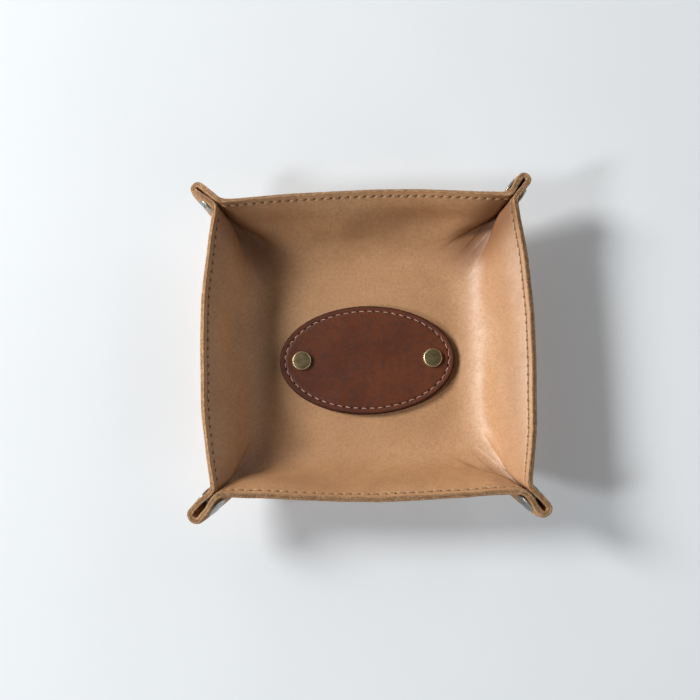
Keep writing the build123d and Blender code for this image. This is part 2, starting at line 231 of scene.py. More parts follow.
class Wall:
    """A wall between two corners, bowed outwards at its fold and curved along its rim."""

    def __init__(self, axis, side, first, last, lean, bow, flare, pared, bend=FOLD_RADIUS):
        self.axis, self.lean, self.bow, self.bend = axis, math.radians(lean), bow, bend
        self.flare, self.pared = flare, pared
        self.first, self.last = first, last
        self.outward = np.array([side, 0.0]) if axis == "x" else np.array([0.0, side])
        self.half_floor = HALF_LENGTH if axis == "x" else HALF_WIDTH
        self.along = np.array([-self.outward[1], self.outward[0]])
        slant = WALL_SLANT - bow
        reach = self.half_floor + bow + slant * math.cos(self.lean)
        self.middle = np.array([*(self.outward * reach), FLOOR_TOP + slant * math.sin(self.lean)])
        self.up_rim = np.array([*(self.outward * math.sin(RIM_TILT)), math.cos(RIM_TILT)])
        ends = []
        for corner, sign in ((first, -1), (last, 1)):
            run = WALL_SLANT * math.cos(corner.lean)
            end = np.array([*(self.outward * (corner.fold @ self.outward + run)), corner.rim_height])
            ends.append((corner.fold @ self.along + sign * run, (end - self.middle) @ self.up_rim))
        # The rim's curve is the circle through its two ends and its middle
        ends = np.array(ends)
        cx, cy = np.linalg.solve(2 * ends, (ends ** 2).sum(1))
        self.rim_arc = (cx, cy, math.hypot(cx, cy), *ends[:, 0])

    def rim_rise(self, along):
        """Height of the rim's curve over its middle, straight past its ends."""
        cx, cy, radius, x1, x2 = self.rim_arc
        inner = np.clip(along, x1, x2)
        root = np.sqrt(radius ** 2 - (inner - cx) ** 2)
        return cy - root + (along - inner) * (inner - cx) / root

    def over_rim(self, p):
        q = p - self.middle
        return q @ self.up_rim - self.rim_rise(q[..., :2] @ self.along)

    def corner_point(self, corner, h, skin):
        """Where the wall's straight line at a height would meet the corner's leg."""
        reach = corner.fold @ self.outward + run_past_fold(h, corner.lean, skin)
        half_leg = corner.neck_slit(h) + skin
        leg = corner.neck(h) + corner.across(h, self.axis) * half_leg[..., None]
        heading = corner.heading(h)
        return leg + heading * ((reach - leg @ self.outward) / (heading @ self.outward))[..., None]

    def outline(self, h, skin):
        """The wall's line at a height: its corner points, the ends of its bends and its bulge."""
        first = self.corner_point(self.first, h, skin)
        last = self.corner_point(self.last, h, skin)
        middle_reach = self.half_floor + self.bow + run_past_fold(h, self.lean, skin, self.bend)
        swell = middle_reach - (first + last) @ self.outward / 2
        bulge = (first + last) / 2 + self.outward * (2 * swell)[..., None]
        start = first + unit(bulge - first) * self.first.bend_reach(self.axis, h, skin)[..., None]
        stop = last + unit(bulge - last) * self.last.bend_reach(self.axis, h, skin)[..., None]
        return first, start, bulge, stop, last


front_left = Corner("front_left", -1, -1, lean=60.5, swing=2, rounds=(3.0, 2.6), slits=(1.0, 1.8),
                    tip_reach=39.6)
front_right = Corner("front_right", 1, -1, lean=61.5, swing=4, rounds=(3.4, 7.5), slits=(0.75, 1.6),
                     tip_reach=37.0)
back_right = Corner("back_right", 1, 1, lean=60.3, swing=9, rounds=(1.8, 4.5), slits=(0.6, 1.0),
                    tip_reach=36.6, shift=(-1.9, 1.9))
back_left = Corner("back_left", -1, 1, lean=59.8, swing=-4, rounds=(6.0, 6.0), slits=(0.4, 0.9),
                   tip_reach=39.2, shift=(-0.5, -0.5))
corners = [front_left, front_right, back_right, back_left]
# The rim's cut is square to the leather where pared is 1, and flatter where it is less
walls = [
    Wall("y", -1, front_left, front_right, lean=58, bow=2.0, flare=1.5, pared=0.6),
    Wall("x", 1, front_right, back_right, lean=52.5, bow=0.6, flare=1.4, pared=0.55,
         bend=RIGHT_FOLD_RADIUS),
    Wall("y", 1, back_right, back_left, lean=51, bow=2.5, flare=1.4, pared=0.85),
    Wall("x", -1, back_left, front_left, lean=48, bow=0.8, flare=1.2, pared=0.8),
]
# Corners whose valleys get painted shade, with the amount and half the width
SHADED_VALLEYS = ((front_left, 0.7, 7), (front_right, 0.3, 5), (back_right, 1.6, 11), (back_left, 1.3, 11))


def bezier(points, t):
    n = len(points) - 1
    shares = [math.comb(n, k) * t ** k * (1 - t) ** (n - k) for k in range(n + 1)]
    return sum(p * share[..., None] for p, share in zip(points, shares))


def leg_line(corner, axis, h, skin, root, tip):
    """Curve of a leg's opening, from the end of its bend to where it runs straight to the tip."""
    heading = corner.heading(h)
    length = dot(tip - root, heading)
    longest = length * (1 / 3 + 0.4 * corner.openness(h))
    start = np.minimum(corner.bend_reach(axis, h, skin), longest)
    near_rim = np.clip(1 - (corner.rim_height - h) / RIM_OPENING_DEPTH, 0, 1)
    run = OPENING_RUN + RIM_OPENING_RUN * near_rim
    stop = start + np.minimum(run, (length - start) * 0.85)
    widening = (tip - root) - heading * length[..., None]
    easing = heading * ((stop - start) / 2)[..., None]
    near = root + heading * start[..., None]
    far = root + heading * stop[..., None] + widening
    return near, near + easing, far - easing, far


# Columns round the tray: each wall, then the ear that follows it
PARTS = {"wall": 300, "bend_in": 10, "open_in": 12, "leg_in": 30, "tip": 20,
         "leg_out": 30, "open_out": 12, "bend_out": 10}
spans = []
COLUMNS = 0
for number in range(len(walls)):
    for part, count in PARTS.items():
        spans.append((number, part, slice(COLUMNS, COLUMNS + count)))
        COLUMNS += count


def ear_curve(wall, following, part, h, skin):
    """Points that draw one part of an ear, in the order that the columns go round."""
    corner = wall.last
    ahead = part.endswith("in")
    side = wall if ahead else following
    tip, half_tip = corner.tip(h, skin)
    reach = half_tip[..., None]
    tip_in = tip + corner.across(h, wall.axis) * reach
    tip_out = tip + corner.across(h, following.axis) * reach
    if part == "tip":
        onward = corner.heading(h) * reach * (1 + corner.tip_roundness(h) / 3)[..., None]
        return tip_in, tip_in + onward, tip_out + onward, tip_out
    first, start, _, stop, last = side.outline(h, skin)
    root, bend_end, leg_tip = (last, stop, tip_in) if ahead else (first, start, tip_out)
    leg = leg_line(corner, side.axis, h, skin, root, leg_tip)
    curves = {"bend": (bend_end, root, leg[0]), "open": leg, "leg": (leg[3], leg_tip)}
    curve = curves[part.split("_")[0]]
    return curve if ahead else curve[::-1]


def skin_points(h, skin):
    """Points of every column at heights h, on the surface a skin's depth outside the grain face."""
    out = np.zeros((COLUMNS, 3))
    for number, part, span in spans:
        wall, following = walls[number], walls[(number + 1) % len(walls)]
        heights = h[span]
        if part == "wall":
            curve = wall.outline(heights, skin)[1:4]
        else:
            curve = ear_curve(wall, following, part, heights, skin)
        out[span, :2] = bezier(curve, np.arange(len(heights)) / len(heights))
        out[span, 2] = heights
    return out


def over_ear(corner, p):
    """How far points lie outside the ear's falling rim and its rounded tip."""
    droop = math.pi / 4 - corner.crease
    top = np.array([corner.rim_height])
    origin, heading = corner.neck(top)[0], corner.heading(top)[0]
    flat = np.stack([(p[:, :2] - origin) @ heading, p[:, 2] - corner.rim_height], -1)
    leg = WALL_SLANT * (1 - math.cos(corner.lean))
    crease_way = np.array([math.cos(corner.crease), math.sin(corner.crease)])
    centre = leg * np.array([math.cos(droop), -math.sin(droop)]) - crease_way * math.sqrt(2) * BLANK_ROUND
    q = flat - centre
    angle = np.arctan2(q[:, 1], q[:, 0])
    above = flat @ np.array([math.sin(droop), math.cos(droop)])
    rounded = np.linalg.norm(q, axis=1) - BLANK_ROUND
    beyond = q @ crease_way - BLANK_ROUND
    return np.where(angle >= corner.crease + math.pi / 4, above,
                    np.where(angle >= corner.crease, rounded, beyond))


def over_edge(p):
    """How far each column's point lies past the cut edge of the leather."""
    out = np.zeros(COLUMNS)
    for number, part, span in spans:
        wall, following = walls[number], walls[(number + 1) % len(walls)]
        q = p[span]
        before, after = wall.over_rim(q), following.over_rim(q)
        if part == "wall":
            out[span] = before
        else:
            rims = {"in": before, "out": after, "tip": np.minimum(before, after)}
            out[span] = np.maximum(rims[part.split("_")[-1]], over_ear(wall.last, q))
    return out


def rim_heights(lowest=8.0, highest=42.0, halvings=32):
    """Height at which each column of the grain face meets the cut edge, found by halving."""
    low, high = np.full(COLUMNS, lowest), np.full(COLUMNS, highest)
    for _ in range(halvings):
        middle = (low + high) / 2
        past = over_edge(skin_points(middle, 0.0)) > 0
        high = np.where(past, middle, high)
        low = np.where(past, low, middle)
    return (low + high) / 2


# Surfaces and their cut edge
def ring_smooth(values, width):
    """Values round the tray, evened out over a number of columns."""
    reach = np.arange(-3 * width, 3 * width + 1)
    kernel = np.exp(-(reach / width) ** 2 / 2)
    kernel /= kernel.sum()
    wide = np.concatenate([values[-3 * width:], values, values[:3 * width]])
    return np.convolve(wide, kernel, "valid")


GRAIN_RIM = rim_heights()
on_wall, wall_pared, FLARE = np.zeros(COLUMNS), np.zeros(COLUMNS), np.zeros(COLUMNS)
WALL_OF = np.zeros(COLUMNS, int)
WALL_WAY = np.zeros((COLUMNS, 3))
for number, part, span in spans:
    on_wall[span] = part == "wall"
    wall_pared[span] = walls[number].pared
    FLARE[span] = walls[number].flare
    WALL_OF[span] = number
    WALL_WAY[span, :2] = walls[number].outward
EAR = ring_smooth(1 - on_wall, 10)
WALL_SHARE = np.clip(ring_smooth(on_wall, 16) * 2 - 1, 0, 1)


def rounded_points(h, skin):
    """Points of every column, with the corners well rounded near the floor."""
    p = skin_points(h, skin)
    share = eased(1 - (h - FLOOR_TOP) / ROUNDED_HEIGHT)[:, None]
    if share.max() > 0:
        evened = np.column_stack([ring_smooth(p[:, axis], ROUNDED_COLUMNS) for axis in (0, 1)])
        p[:, :2] += (evened - p[:, :2]) * share
    return p


def hollow(p, depth):
    """How far each point is pressed inwards by hand, in millimetres."""
    total = 0
    for number, place, deep, half_long, half_deep, amount in HOLLOWS:
        axis = 1 if walls[number].axis == "x" else 0
        shape = bell(p[:, axis] - place, half_long) * bell(depth - deep, half_deep)
        total = total + amount * shape * (WALL_OF == number)
    return total


def formed_points(h, skin):
    """Points of every column with the walls formed by hand: hollows, and rims turned outwards."""
    p = rounded_points(h, skin)
    depth = np.maximum(GRAIN_RIM - h, 0)
    share = depth / FLARE_DEPTH * np.exp(1 - depth / FLARE_DEPTH)
    turned_in = FLARE * (BROAD_FLARE * share + (1 - BROAD_FLARE) * share ** 2)
    inward = (turned_in + hollow(p, depth)) * eased((h - FLOOR_TOP) / FORMED_HEIGHT)
    return p - WALL_WAY * (inward * WALL_SHARE)[:, None]


def ring_tangent(p):
    return unit(np.roll(p, -1, 0) - np.roll(p, 1, 0))


def outward_normal(p, below):
    """Normals from each point's neighbours and the point a little below it."""
    return unit(np.cross(ring_tangent(p), unit(p - below)))


PARED = ring_smooth(wall_pared, 24)
rim_normal = outward_normal(formed_points(GRAIN_RIM, 0.0), formed_points(GRAIN_RIM - FACE_STEP, 0.0))
RIM_FALL = ring_smooth(rim_normal[:, 2], 6) * PARED


def rim_at(skin):
    """Height of the cut edge at a depth in the leather."""
    return GRAIN_RIM + skin * RIM_FALL


def fall_per_distance(skin, least=0.6):
    """Height lost for each millimetre of distance from the cut edge."""
    rim = rim_at(skin)
    here = formed_points(rim, skin)
    down = formed_points(rim - 1, skin) - here
    tangent = ring_tangent(here)
    across = down - tangent * dot(down, tangent)[:, None]
    return ring_smooth(1 / np.maximum(np.linalg.norm(across, axis=1), least), 3)


GRAIN_FALL, OUTER_FALL = fall_per_distance(0.0), fall_per_distance(LEATHER)


def below_edge(distance, skin):
    """Height of each column's point at a distance from the cut edge."""
    share = skin / LEATHER
    return rim_at(skin) - distance * (GRAIN_FALL * (1 - share) + OUTER_FALL * share)


rng = np.random.default_rng(7)
swells = [(unit(rng.normal(size=3)), rng.uniform(0, TAU), length, size) for length, size in SWELLS]


def wave(p):
    """Gentle unevenness of hand-made leather, in millimetres, away from the floor and the ears."""
    total = sum(size * np.sin(p @ way * TAU / length + phase) for way, phase, length, size in swells)
    return total * eased((p[:, 2] - SWELL_FROM) / SWELL_RUN) * (1 - EAR)


def surface(h, skin):
    """Points and outward normals of every column at heights h."""
    p = formed_points(h, skin)
    normal = outward_normal(p, formed_points(h - 0.4, skin))
    return p + normal * wave(p)[:, None], normal


class Seam:
    """Even stitch holes along a closed line of points, one point to a column."""

    def __init__(self, path, pitch, hole_width):
        steps = np.linalg.norm(np.roll(path, -1, 0) - path, axis=1)
        self.run = np.concatenate([[0], np.cumsum(steps)])
        self.length = self.run[-1]
        self.count = int(round(self.length / pitch))
        self.hole_columns = self.columns_at(np.arange(self.count + 1))
        hole_runs = np.arange(self.count) / self.count * self.length
        gap = np.abs(self.run[:-1, None] - hole_runs[None])
        # For each column, 1 at a stitch hole and 0 between holes
        self.holes = bell(np.minimum(gap, self.length - gap).min(1), hole_width)

    def columns_at(self, holes):
        """Places between columns of holes given by number, and of shares of the way to the next."""
        return np.interp(holes / self.count * self.length, self.run, np.arange(len(self.run)))


RIM_SEAM = Seam(surface(below_edge(STITCH_INSET, 0.0), 0.0)[0], STITCH_PITCH, HOLE_WIDTH)


def seam_depth(distance):
    """How deep the thread pulls the leather in, in millimetres."""
    off = distance - STITCH_INSET
    return LINE_DEPTH * bell(off, LINE_WIDTH) + SPOT_DEPTH * bell(off, SPOT_WIDTH) * RIM_SEAM.holes


# Meshes made of rings
def smooth_mesh(name, verts, faces, materials):
    mesh = bpy.data.meshes.new(name)
    mesh.from_pydata((verts * MM).tolist(), [], faces)
    for material in materials:
        mesh.materials.append(material)
    mesh.polygons.foreach_set("use_smooth", np.ones(len(faces), bool))
    mesh.update()
    return mesh


def ring_mesh(name, rows, ends, materials, flipped=False):
    """Closed mesh of rings of points in millimetres, drawn in to one point at both ends."""
    count, columns = rows.shape[:2]
    index = np.arange(count * columns).reshape(count, columns)
    after = np.roll(index, -1, 1)
    low_end = np.full(columns, count * columns)
    groups = [np.stack([index[:-1], after[:-1], after[1:], index[1:]], -1).reshape(-1, 4),
              np.stack([index[0], low_end, after[0]], -1),
              np.stack([index[-1], after[-1], low_end + 1], -1)]
    faces = []
    for group in groups:
        faces += (np.roll(group[:, ::-1], 1, 1) if flipped else group).tolist()
    return smooth_mesh(name, np.vstack([rows.reshape(-1, 3), ends]), faces, materials)


def paint(mesh, name, values):
    mesh.attributes.new(name, "FLOAT", "POINT").data.foreach_set("value", values)


def ring_sample(values, columns):
    """Values between columns, on a closed ring."""
    low = np.floor(columns).astype(int)
    share = (columns - low)[:, None]
    return values[low % len(values)] * (1 - share) + values[(low + 1) % len(values)] * share


NO_HOLES = np.zeros(COLUMNS)


def face_rows(skin, inward, coarse=False):
    """Rows of one face of a layer: points, distance from the edge, False as it isn't cut, and how much
    painted shade the stitch holes get. Inward faces look into the tray, and coarse ones are hidden."""
    base = rounded_points(np.full(COLUMNS, FLOOR_TOP - skin), skin)
    rows = [(base * np.array([share, share, 1]), FLOOR_AWAY, False, NO_HOLES)
            for share in (HIDDEN_RINGS if coarse else FLOOR_RINGS)]
    rows.append((base, FOLD_AWAY, False, NO_HOLES))
    bends, count = (HIDDEN_ROWS, HIDDEN_ROWS) if coarse else (BEND_ROWS, WALL_ROWS)
    for j in range(1, bends + 1):
        height = FLOOR_TOP + FOLD_RADIUS - (FOLD_RADIUS + skin) * math.cos(BEND_LEAN * j / bends)
        points, _ = surface(np.full(COLUMNS, height), skin)
        rows.append((points, BEND_AWAY - j * BEND_ROW_AWAY, False, NO_HOLES))
    lowest = HIDDEN_STEP if coarse else FACE_STEPS[0]
    stop = below_edge(lowest, skin)
    for j in range(1, count + 1):
        points, _ = surface(height + (stop - height) * j / count, skin)
        rows.append((points, lowest + (count - j) * WALL_ROW_AWAY, False, NO_HOLES))
    for distance in (() if coarse else FACE_STEPS[1:]):
        points, normal = surface(below_edge(distance, skin), skin)
        sink = seam_depth(distance) * (1 if inward else -1) * (1 - 0.55 * EAR)
        # Painted shade in the stitch holes
        dark = RIM_SEAM.holes * bell(distance - STITCH_INSET, HOLE_SHADE_WIDTH)
        rows.append((points + normal * sink[:, None], distance, False, dark))
    return rows if inward else rows[::-1]


fray = [np.convolve(np.pad(rng.normal(size=COLUMNS), 1, "wrap"), [0.25, 0.5, 0.25], "valid")
        for _ in range(24)]


def edge_rows(inner, outer, bevels, first):
    """Rows of the cut edge of one layer, as those of its faces, with its two corners worn round."""
    near, far = bevels
    quarter = np.linspace(0, math.pi / 2, 5)
    rounds = [(inner + near * (1 - math.cos(turn)), near * (1 - math.sin(turn))) for turn in quarter]
    flat = [(inner + near + (outer - inner - near - far) * share, 0) for share in (0.25, 0.5, 0.75)]
    others = [(outer - far * (1 - math.sin(turn)), far * (1 - math.cos(turn))) for turn in quarter]
    profile = rounds + flat + others
    rows = []
    for index, (skin, drop) in enumerate(profile):
        rough = FINE_FRAY * fray[(first + index) % len(fray)]
        rough = rough + BROAD_FRAY * fray[(first + index // 3) % len(fray)]
        at_end = index in (0, len(profile) - 1)
        rough = np.maximum(rough, FRAY_LIMIT) * (0.25 if at_end else 1)
        points, _ = surface(below_edge(drop + rough, skin), skin)
        rows.append((points, inner - skin - 0.01, True, NO_HOLES))
    return rows


def painted_shade_at(p):
    """Where shade is painted on the leather: the right wall and the valleys of the corners."""
    wall = np.clip((p[:, 0] - SHADE_WALL_FROM) / SHADE_WALL_RUN, 0, 1)
    wall = wall * np.exp(-((p[:, 1] - SHADE_WALL_MIDDLE) / SHADE_WALL_HALF) ** 4)
    valleys = 0
    for corner, amount, wide in SHADED_VALLEYS:
        q = p[:, :2] - corner.fold
        along = q @ corner.diagonal
        across = q @ turned(corner.diagonal, math.pi / 2)
        reach = np.clip(1 + along / VALLEY_SHADE_RUN_IN, 0, 1)
        reach *= np.clip((VALLEY_SHADE_END - along) / VALLEY_SHADE_FADE, 0, 1)
        valleys = valleys + amount * bell(across, wide) * reach
    return np.clip(SHADE_WALL_SHARE * wall + valleys, 0, PAINTED_SHADE_MOST)


def shell_object(name, rows, materials):
    """Mesh of a layer's rows, closed at the middle of the floor, with the edge in its own slot."""
    points, from_edge, cut, dark = (np.array(column) for column in zip(*rows))
    ends = [[0, 0, points[k, :, 2].mean()] for k in (0, -1)]
    mesh = ring_mesh(name, points, ends, materials)
    on_edge = cut[:-1] | cut[1:]
    slots = np.concatenate([np.repeat(on_edge, COLUMNS).astype(int), np.zeros(2 * COLUMNS, int)])
    mesh.polygons.foreach_set("material_index", slots)
    # The map runs round the tray and away from the edge, in centimetres
    to_map = MM * 10
    along = np.append(np.tile(RIM_SEAM.run[:-1] * to_map, len(rows)), [0, 0])
    away = np.append(np.repeat(from_edge * to_map, COLUMNS), [0.6, 0.6])
    corner_verts = np.zeros(len(mesh.loops), int)
    mesh.loops.foreach_get("vertex_index", corner_verts)
    coords = np.column_stack([along, away])[corner_verts]
    # The last column closes the ring, so its faces run on instead of back to the start
    face_sizes = np.zeros(len(slots), int)
    mesh.polygons.foreach_get("loop_total", face_sizes)
    closing = np.repeat(np.arange(len(slots)) % COLUMNS == COLUMNS - 1, face_sizes)
    back_at_start = closing & (coords[:, 0] < along.max() / 2)
    coords[back_at_start, 0] += RIM_SEAM.length * to_map
    mesh.uv_layers.new(name="around").data.foreach_set("uv", coords.ravel())
    # Painted shade in the stitch holes
    paint(mesh, "hole", np.append(dark.ravel(), [0, 0]))
    # Painted shade on the right wall and in the corners' valleys
    paint(mesh, "painted_shade", painted_shade_at(np.vstack([points.reshape(-1, 3), ends])))
    return bpy.data.objects.new(name, mesh)


# Materials
class Nodes:
    """Short calls for building the nodes of a material, or of another owner such as the world."""

    def __init__(self, name, owner=None, shader="Principled BSDF"):
        self.owner = owner or bpy.data.materials.new(name)
        self.owner.use_nodes = True
        self.tree = self.owner.node_tree
        self.shader = self.tree.nodes[shader]

    def node(self, kind, **values):
        node = self.tree.nodes.new(kind)
        for key, value in values.items():
            setattr(node, key, value)
        return node

    def feed(self, socket, value):
        """Link another node's output to a socket, or set it to a constant."""
        if isinstance(value, bpy.types.NodeSocket):
            self.tree.links.new(value, socket)
        else:
            socket.default_value = value

    def plug(self, node, **inputs):
        for key, value in inputs.items():
            self.feed(node.inputs[key.replace("_", " ")], value)
        return node

    def mapped(self, source, scale, turn=(0, 0, 0)):
        mapping = self.node("ShaderNodeMapping")
        return self.plug(mapping, Vector=source, Scale=scale, Rotation=turn).outputs["Vector"]

    def place(self, scale=(1, 1, 1), turn=(0, 0, 0)):
        return self.mapped(self.node("ShaderNodeTexCoord").outputs["Object"], scale, turn)

    def around(self, scale=(1, 1, 1)):
        return self.mapped(self.node("ShaderNodeUVMap", uv_map="around").outputs["UV"], scale)

    def noise(self, vector, scale, detail=4, roughness=0.55, distortion=0.0):
        node = self.node("ShaderNodeTexNoise")
        self.plug(node, Vector=vector, Scale=scale, Detail=detail, Roughness=roughness,
                  Distortion=distortion)
        return node.outputs["Fac"]

    def cells(self, vector, scale):
        return self.plug(self.node("ShaderNodeTexVoronoi"), Vector=vector, Scale=scale).outputs["Distance"]

    def math(self, operation, a, b=0.0, clamp=False):
        node = self.node("ShaderNodeMath", operation=operation, use_clamp=clamp)
        self.feed(node.inputs[0], a)
        self.feed(node.inputs[1], b)
        return node.outputs[0]

    def remap(self, value, low, high, to_low=0.0, to_high=1.0):
        node = self.node("ShaderNodeMapRange", interpolation_type="SMOOTHSTEP")
        self.plug(node, Value=value, From_Min=low, From_Max=high, To_Min=to_low, To_Max=to_high)
        return node.outputs["Result"]

    def mix(self, share, a, b):
        node = self.node("ShaderNodeMix", data_type="RGBA")
        for place, value in ((0, share), (6, a), (7, b)):
            self.feed(node.inputs[place], value)
        return node.outputs[2]

    def lines(self, pattern, level, half_width):
        """1 where a pattern is within half a width of a level, which draws thin lines."""
        off = self.math("ABSOLUTE", self.math("SUBTRACT", pattern, level))
        return self.math("LESS_THAN", off, half_width)

    def tint(self, color, share, most, tone):
        """A colour turned towards a tone, by a share that reaches a most."""
        return self.mix(self.math("MULTIPLY", share, most, clamp=True), color, tone)

    def bumps(self, *layers):
        """Normal of bumps laid over each other, each a height, its distance and its strength."""
        normals = {}
        for height, distance, strength in layers:
            node = self.plug(self.node("ShaderNodeBump"), Height=height, Distance=distance,
                             Strength=strength, **normals)
            normals = {"Normal": node.outputs["Normal"]}
        return normals["Normal"]

    def attribute(self, name):
        return self.node("ShaderNodeAttribute", attribute_name=name).outputs["Fac"]

    def finish(self, color, roughness, normal, **inputs):
        self.plug(self.shader, Base_Color=color, Roughness=roughness, Normal=normal, **inputs)
        return self.owner


def srgb(r, g, b):
    """Shader colour of a display colour's three values from 0 to 255."""
    shares = [v / 255 for v in (r, g, b)]
    return (*(v / 12.92 if v <= 0.04 else ((v + 0.055) / 1.055) ** 2.4 for v in shares), 1)


def undyed(m, scales, tones, mottling):
    """Cloudy, mottled and pored colour of undyed leather, with its three patterns."""
    clouds = m.noise(m.place(), scales[0], 5, 0.6)
    mottle = m.noise(m.place(), scales[1], 5, 0.65)
    pores = m.noise(m.place(), scales[2], 3, 0.7)
    color = m.mix(m.remap(clouds, 0.3, 0.7), tones[0], tones[1])
    color = m.mix(m.remap(mottle, 0.35, 0.75, 0, mottling), color, tones[2])
    color = m.mix(m.remap(pores, 0.55, 0.8, 0, 0.3), color, tones[3])
    return color, clouds, mottle, pores


def tan_leather():
    m = Nodes("tan_leather")
    tones = srgb(186, 140, 99), srgb(199, 153, 110), srgb(170, 122, 82), srgb(150, 103, 66)
    color, clouds, mottle, pores = undyed(m, (26, 190, 2300), tones, 0.28)
    place = m.place()
    flecks = m.noise(place, 760, detail=4, roughness=0.7)
    color = m.mix(m.remap(flecks, 0.42, 0.7, 0, 0.42), color, srgb(156, 110, 74))
    painted_shade, hole = m.attribute("painted_shade"), m.attribute("hole")
    # Painted shade on the right wall and in the corners' valleys
    color = m.tint(color, painted_shade, 0.62, srgb(128, 86, 54))
    # Painted shade in the stitch holes
    color = m.tint(color, hole, 0.92, srgb(50, 26, 14))
    dulled = m.math("MAXIMUM", m.math("MULTIPLY", hole, 3.0), m.math("MULTIPLY", painted_shade, 0.75))
    normal = m.bumps((clouds, 0.0012, 0.35), (mottle, 0.00018, 0.6),
                     (m.noise(place, 900, detail=4, roughness=0.65), 0.00012, 0.7),
                     (m.math("ADD", m.cells(place, 1500), pores), 0.00006, 0.7))
    return m.finish(color, m.remap(mottle, 0.3, 0.7, 0.46, 0.6), normal, Specular_IOR_Level=0.45,
                    Coat_Weight=m.remap(dulled, 0.4, 1.0, 0.6, 0.06), Coat_Roughness=0.46)


def outer_leather():
    m = Nodes("outer_leather")
    tones = srgb(176, 130, 90), srgb(190, 144, 102), srgb(158, 112, 74), srgb(138, 94, 60)
    color, clouds, mottle, pores = undyed(m, (30, 230, 2100), tones, 0.3)
    # Painted shade in the stitch holes
    color = m.tint(color, m.attribute("hole"), 0.92, srgb(44, 24, 14))
    normal = m.bumps((clouds, 0.001, 0.35), (mottle, 0.0002, 0.7), (pores, 0.00005, 0.6))
    return m.finish(color, m.remap(mottle, 0.3, 0.7, 0.5, 0.66), normal, Specular_IOR_Level=0.35)


def cut_edge():
    m = Nodes("cut_leather_edge")
    place = m.place()
    fibres = m.noise(m.around((1, 6, 1)), 90, detail=6, roughness=0.75)
    specks = m.noise(place, 1400, detail=4, roughness=0.75)
    lumps = m.noise(place, 420, detail=4, roughness=0.65)
    color = m.mix(m.remap(lumps, 0.3, 0.7), srgb(164, 124, 88), srgb(204, 162, 120))
    color = m.mix(m.remap(specks, 0.42, 0.6, 0.6, 0), color, srgb(112, 80, 54))
    color = m.mix(m.remap(specks, 0.6, 0.72, 0, 0.8), color, srgb(238, 208, 168))
    normal = m.bumps((fibres, 0.0003, 0.6), (specks, 0.00022, 0.9))
    return m.finish(color, m.remap(fibres, 0.3, 0.7, 0.75, 0.95), normal, Specular_IOR_Level=0.3)


def badge_leather():
    m = Nodes("badge_leather")
    place = m.place()
    clouds = m.noise(place, 45, detail=5, roughness=0.6)
    mottle = m.noise(place, 260, detail=5, roughness=0.65)
    pores = m.noise(place, 2600, detail=3, roughness=0.7)
    scratches = m.noise(m.place((1, 5, 1), (0, 0, 0.5)), 55, detail=6, roughness=0.7, distortion=1.6)
    creases = m.noise(m.place((1, 3, 1), (0, 0, -0.35)), 38, detail=7, roughness=0.72, distortion=2.2)
    burnish = m.attribute("burnish")
    color = m.mix(m.remap(clouds, 0.3, 0.7), srgb(84, 41, 22), srgb(104, 54, 30))
    color = m.mix(m.remap(mottle, 0.4, 0.7, 0, 0.6), color, srgb(62, 28, 15))
    color = m.tint(color, m.lines(scratches, 0.5, 0.006), 0.35, srgb(48, 20, 12))
    color = m.tint(color, m.lines(creases, 0.54, 0.005), 0.3, srgb(138, 80, 52))
    # Burnished darker edge, and painted shade in the stitch holes
    color = m.mix(burnish, color, srgb(44, 20, 13))
    rough = m.math("ADD", m.remap(mottle, 0.3, 0.7, 0.38, 0.54), m.math("MULTIPLY", burnish, 0.3))
    normal = m.bumps((mottle, 0.0002, 0.6), (m.math("ADD", m.cells(place, 1700), pores), 0.00004, 0.6))
    return m.finish(color, rough, normal, Specular_IOR_Level=m.remap(burnish, 0, 1, 0.45, 0.12))


def thread(name, light, dark):
    """Twisted thread, lighter on its strands than between them, where shade is painted."""
    m = Nodes(name)
    strands = m.node("ShaderNodeTexWave", wave_type="BANDS", bands_direction="DIAGONAL")
    twist = m.plug(strands, Vector=m.around(), Scale=1.6, Distortion=0.6, Detail=2).outputs["Fac"]
    fuzz = m.noise(m.place(), 2600, detail=3)
    # Painted shade between the strands
    color = m.mix(m.remap(twist, 0.1, 0.7), dark, light)
    color = m.mix(m.remap(fuzz, 0.4, 0.7, 0, 0.25), color, dark)
    normal = m.bumps((twist, 0.00012, 0.8))
    return m.finish(color, m.remap(fuzz, 0.3, 0.7, 0.55, 0.75), normal, Specular_IOR_Level=0.35)


def metal(name, light, dark, rough_low, rough_high, rim_mark=None):
    """Brushed and tarnished metal; its steep rim can get a painted highlight."""
    m = Nodes(name)
    brushed = m.noise(m.place((1, 14, 14)), 160, detail=5, roughness=0.7)
    tarnish = m.noise(m.place(), 420, detail=5, roughness=0.7)
    color = m.mix(m.remap(tarnish, 0.35, 0.68), light, dark)
    if rim_mark:
        facing = m.node("ShaderNodeNewGeometry").outputs["Normal"]
        level = m.plug(m.node("ShaderNodeSeparateXYZ"), Vector=facing).outputs["Z"]
        # Painted highlight: lighter where the surface turns away from straight up
        color = m.mix(m.remap(level, 0.96, 0.82), color, rim_mark)
    rough = m.remap(brushed, 0.3, 0.7, rough_low, rough_high)
    return m.finish(color, rough, m.bumps((brushed, 0.00003, 0.5)), Metallic=1.0)


def pale_floor():
    """Near white floor; the glow that only the camera sees brings it to the photograph's level."""
    m = Nodes("pale_floor")
    place = m.place()
    color = m.mix(m.remap(m.noise(place, 9), 0.3, 0.7), srgb(218, 223, 227), srgb(220, 225, 229))
    glow = m.math("MULTIPLY", m.node("ShaderNodeLightPath").outputs["Is Camera Ray"], 0.13)
    normal = m.bumps((m.noise(place, 900, detail=3), 0.00003, 0.3))
    return m.finish(color, 0.7, normal, Specular_IOR_Level=0.2, Emission_Strength=glow,
                    Emission_Color=(1.0, 0.99, 0.99, 1))


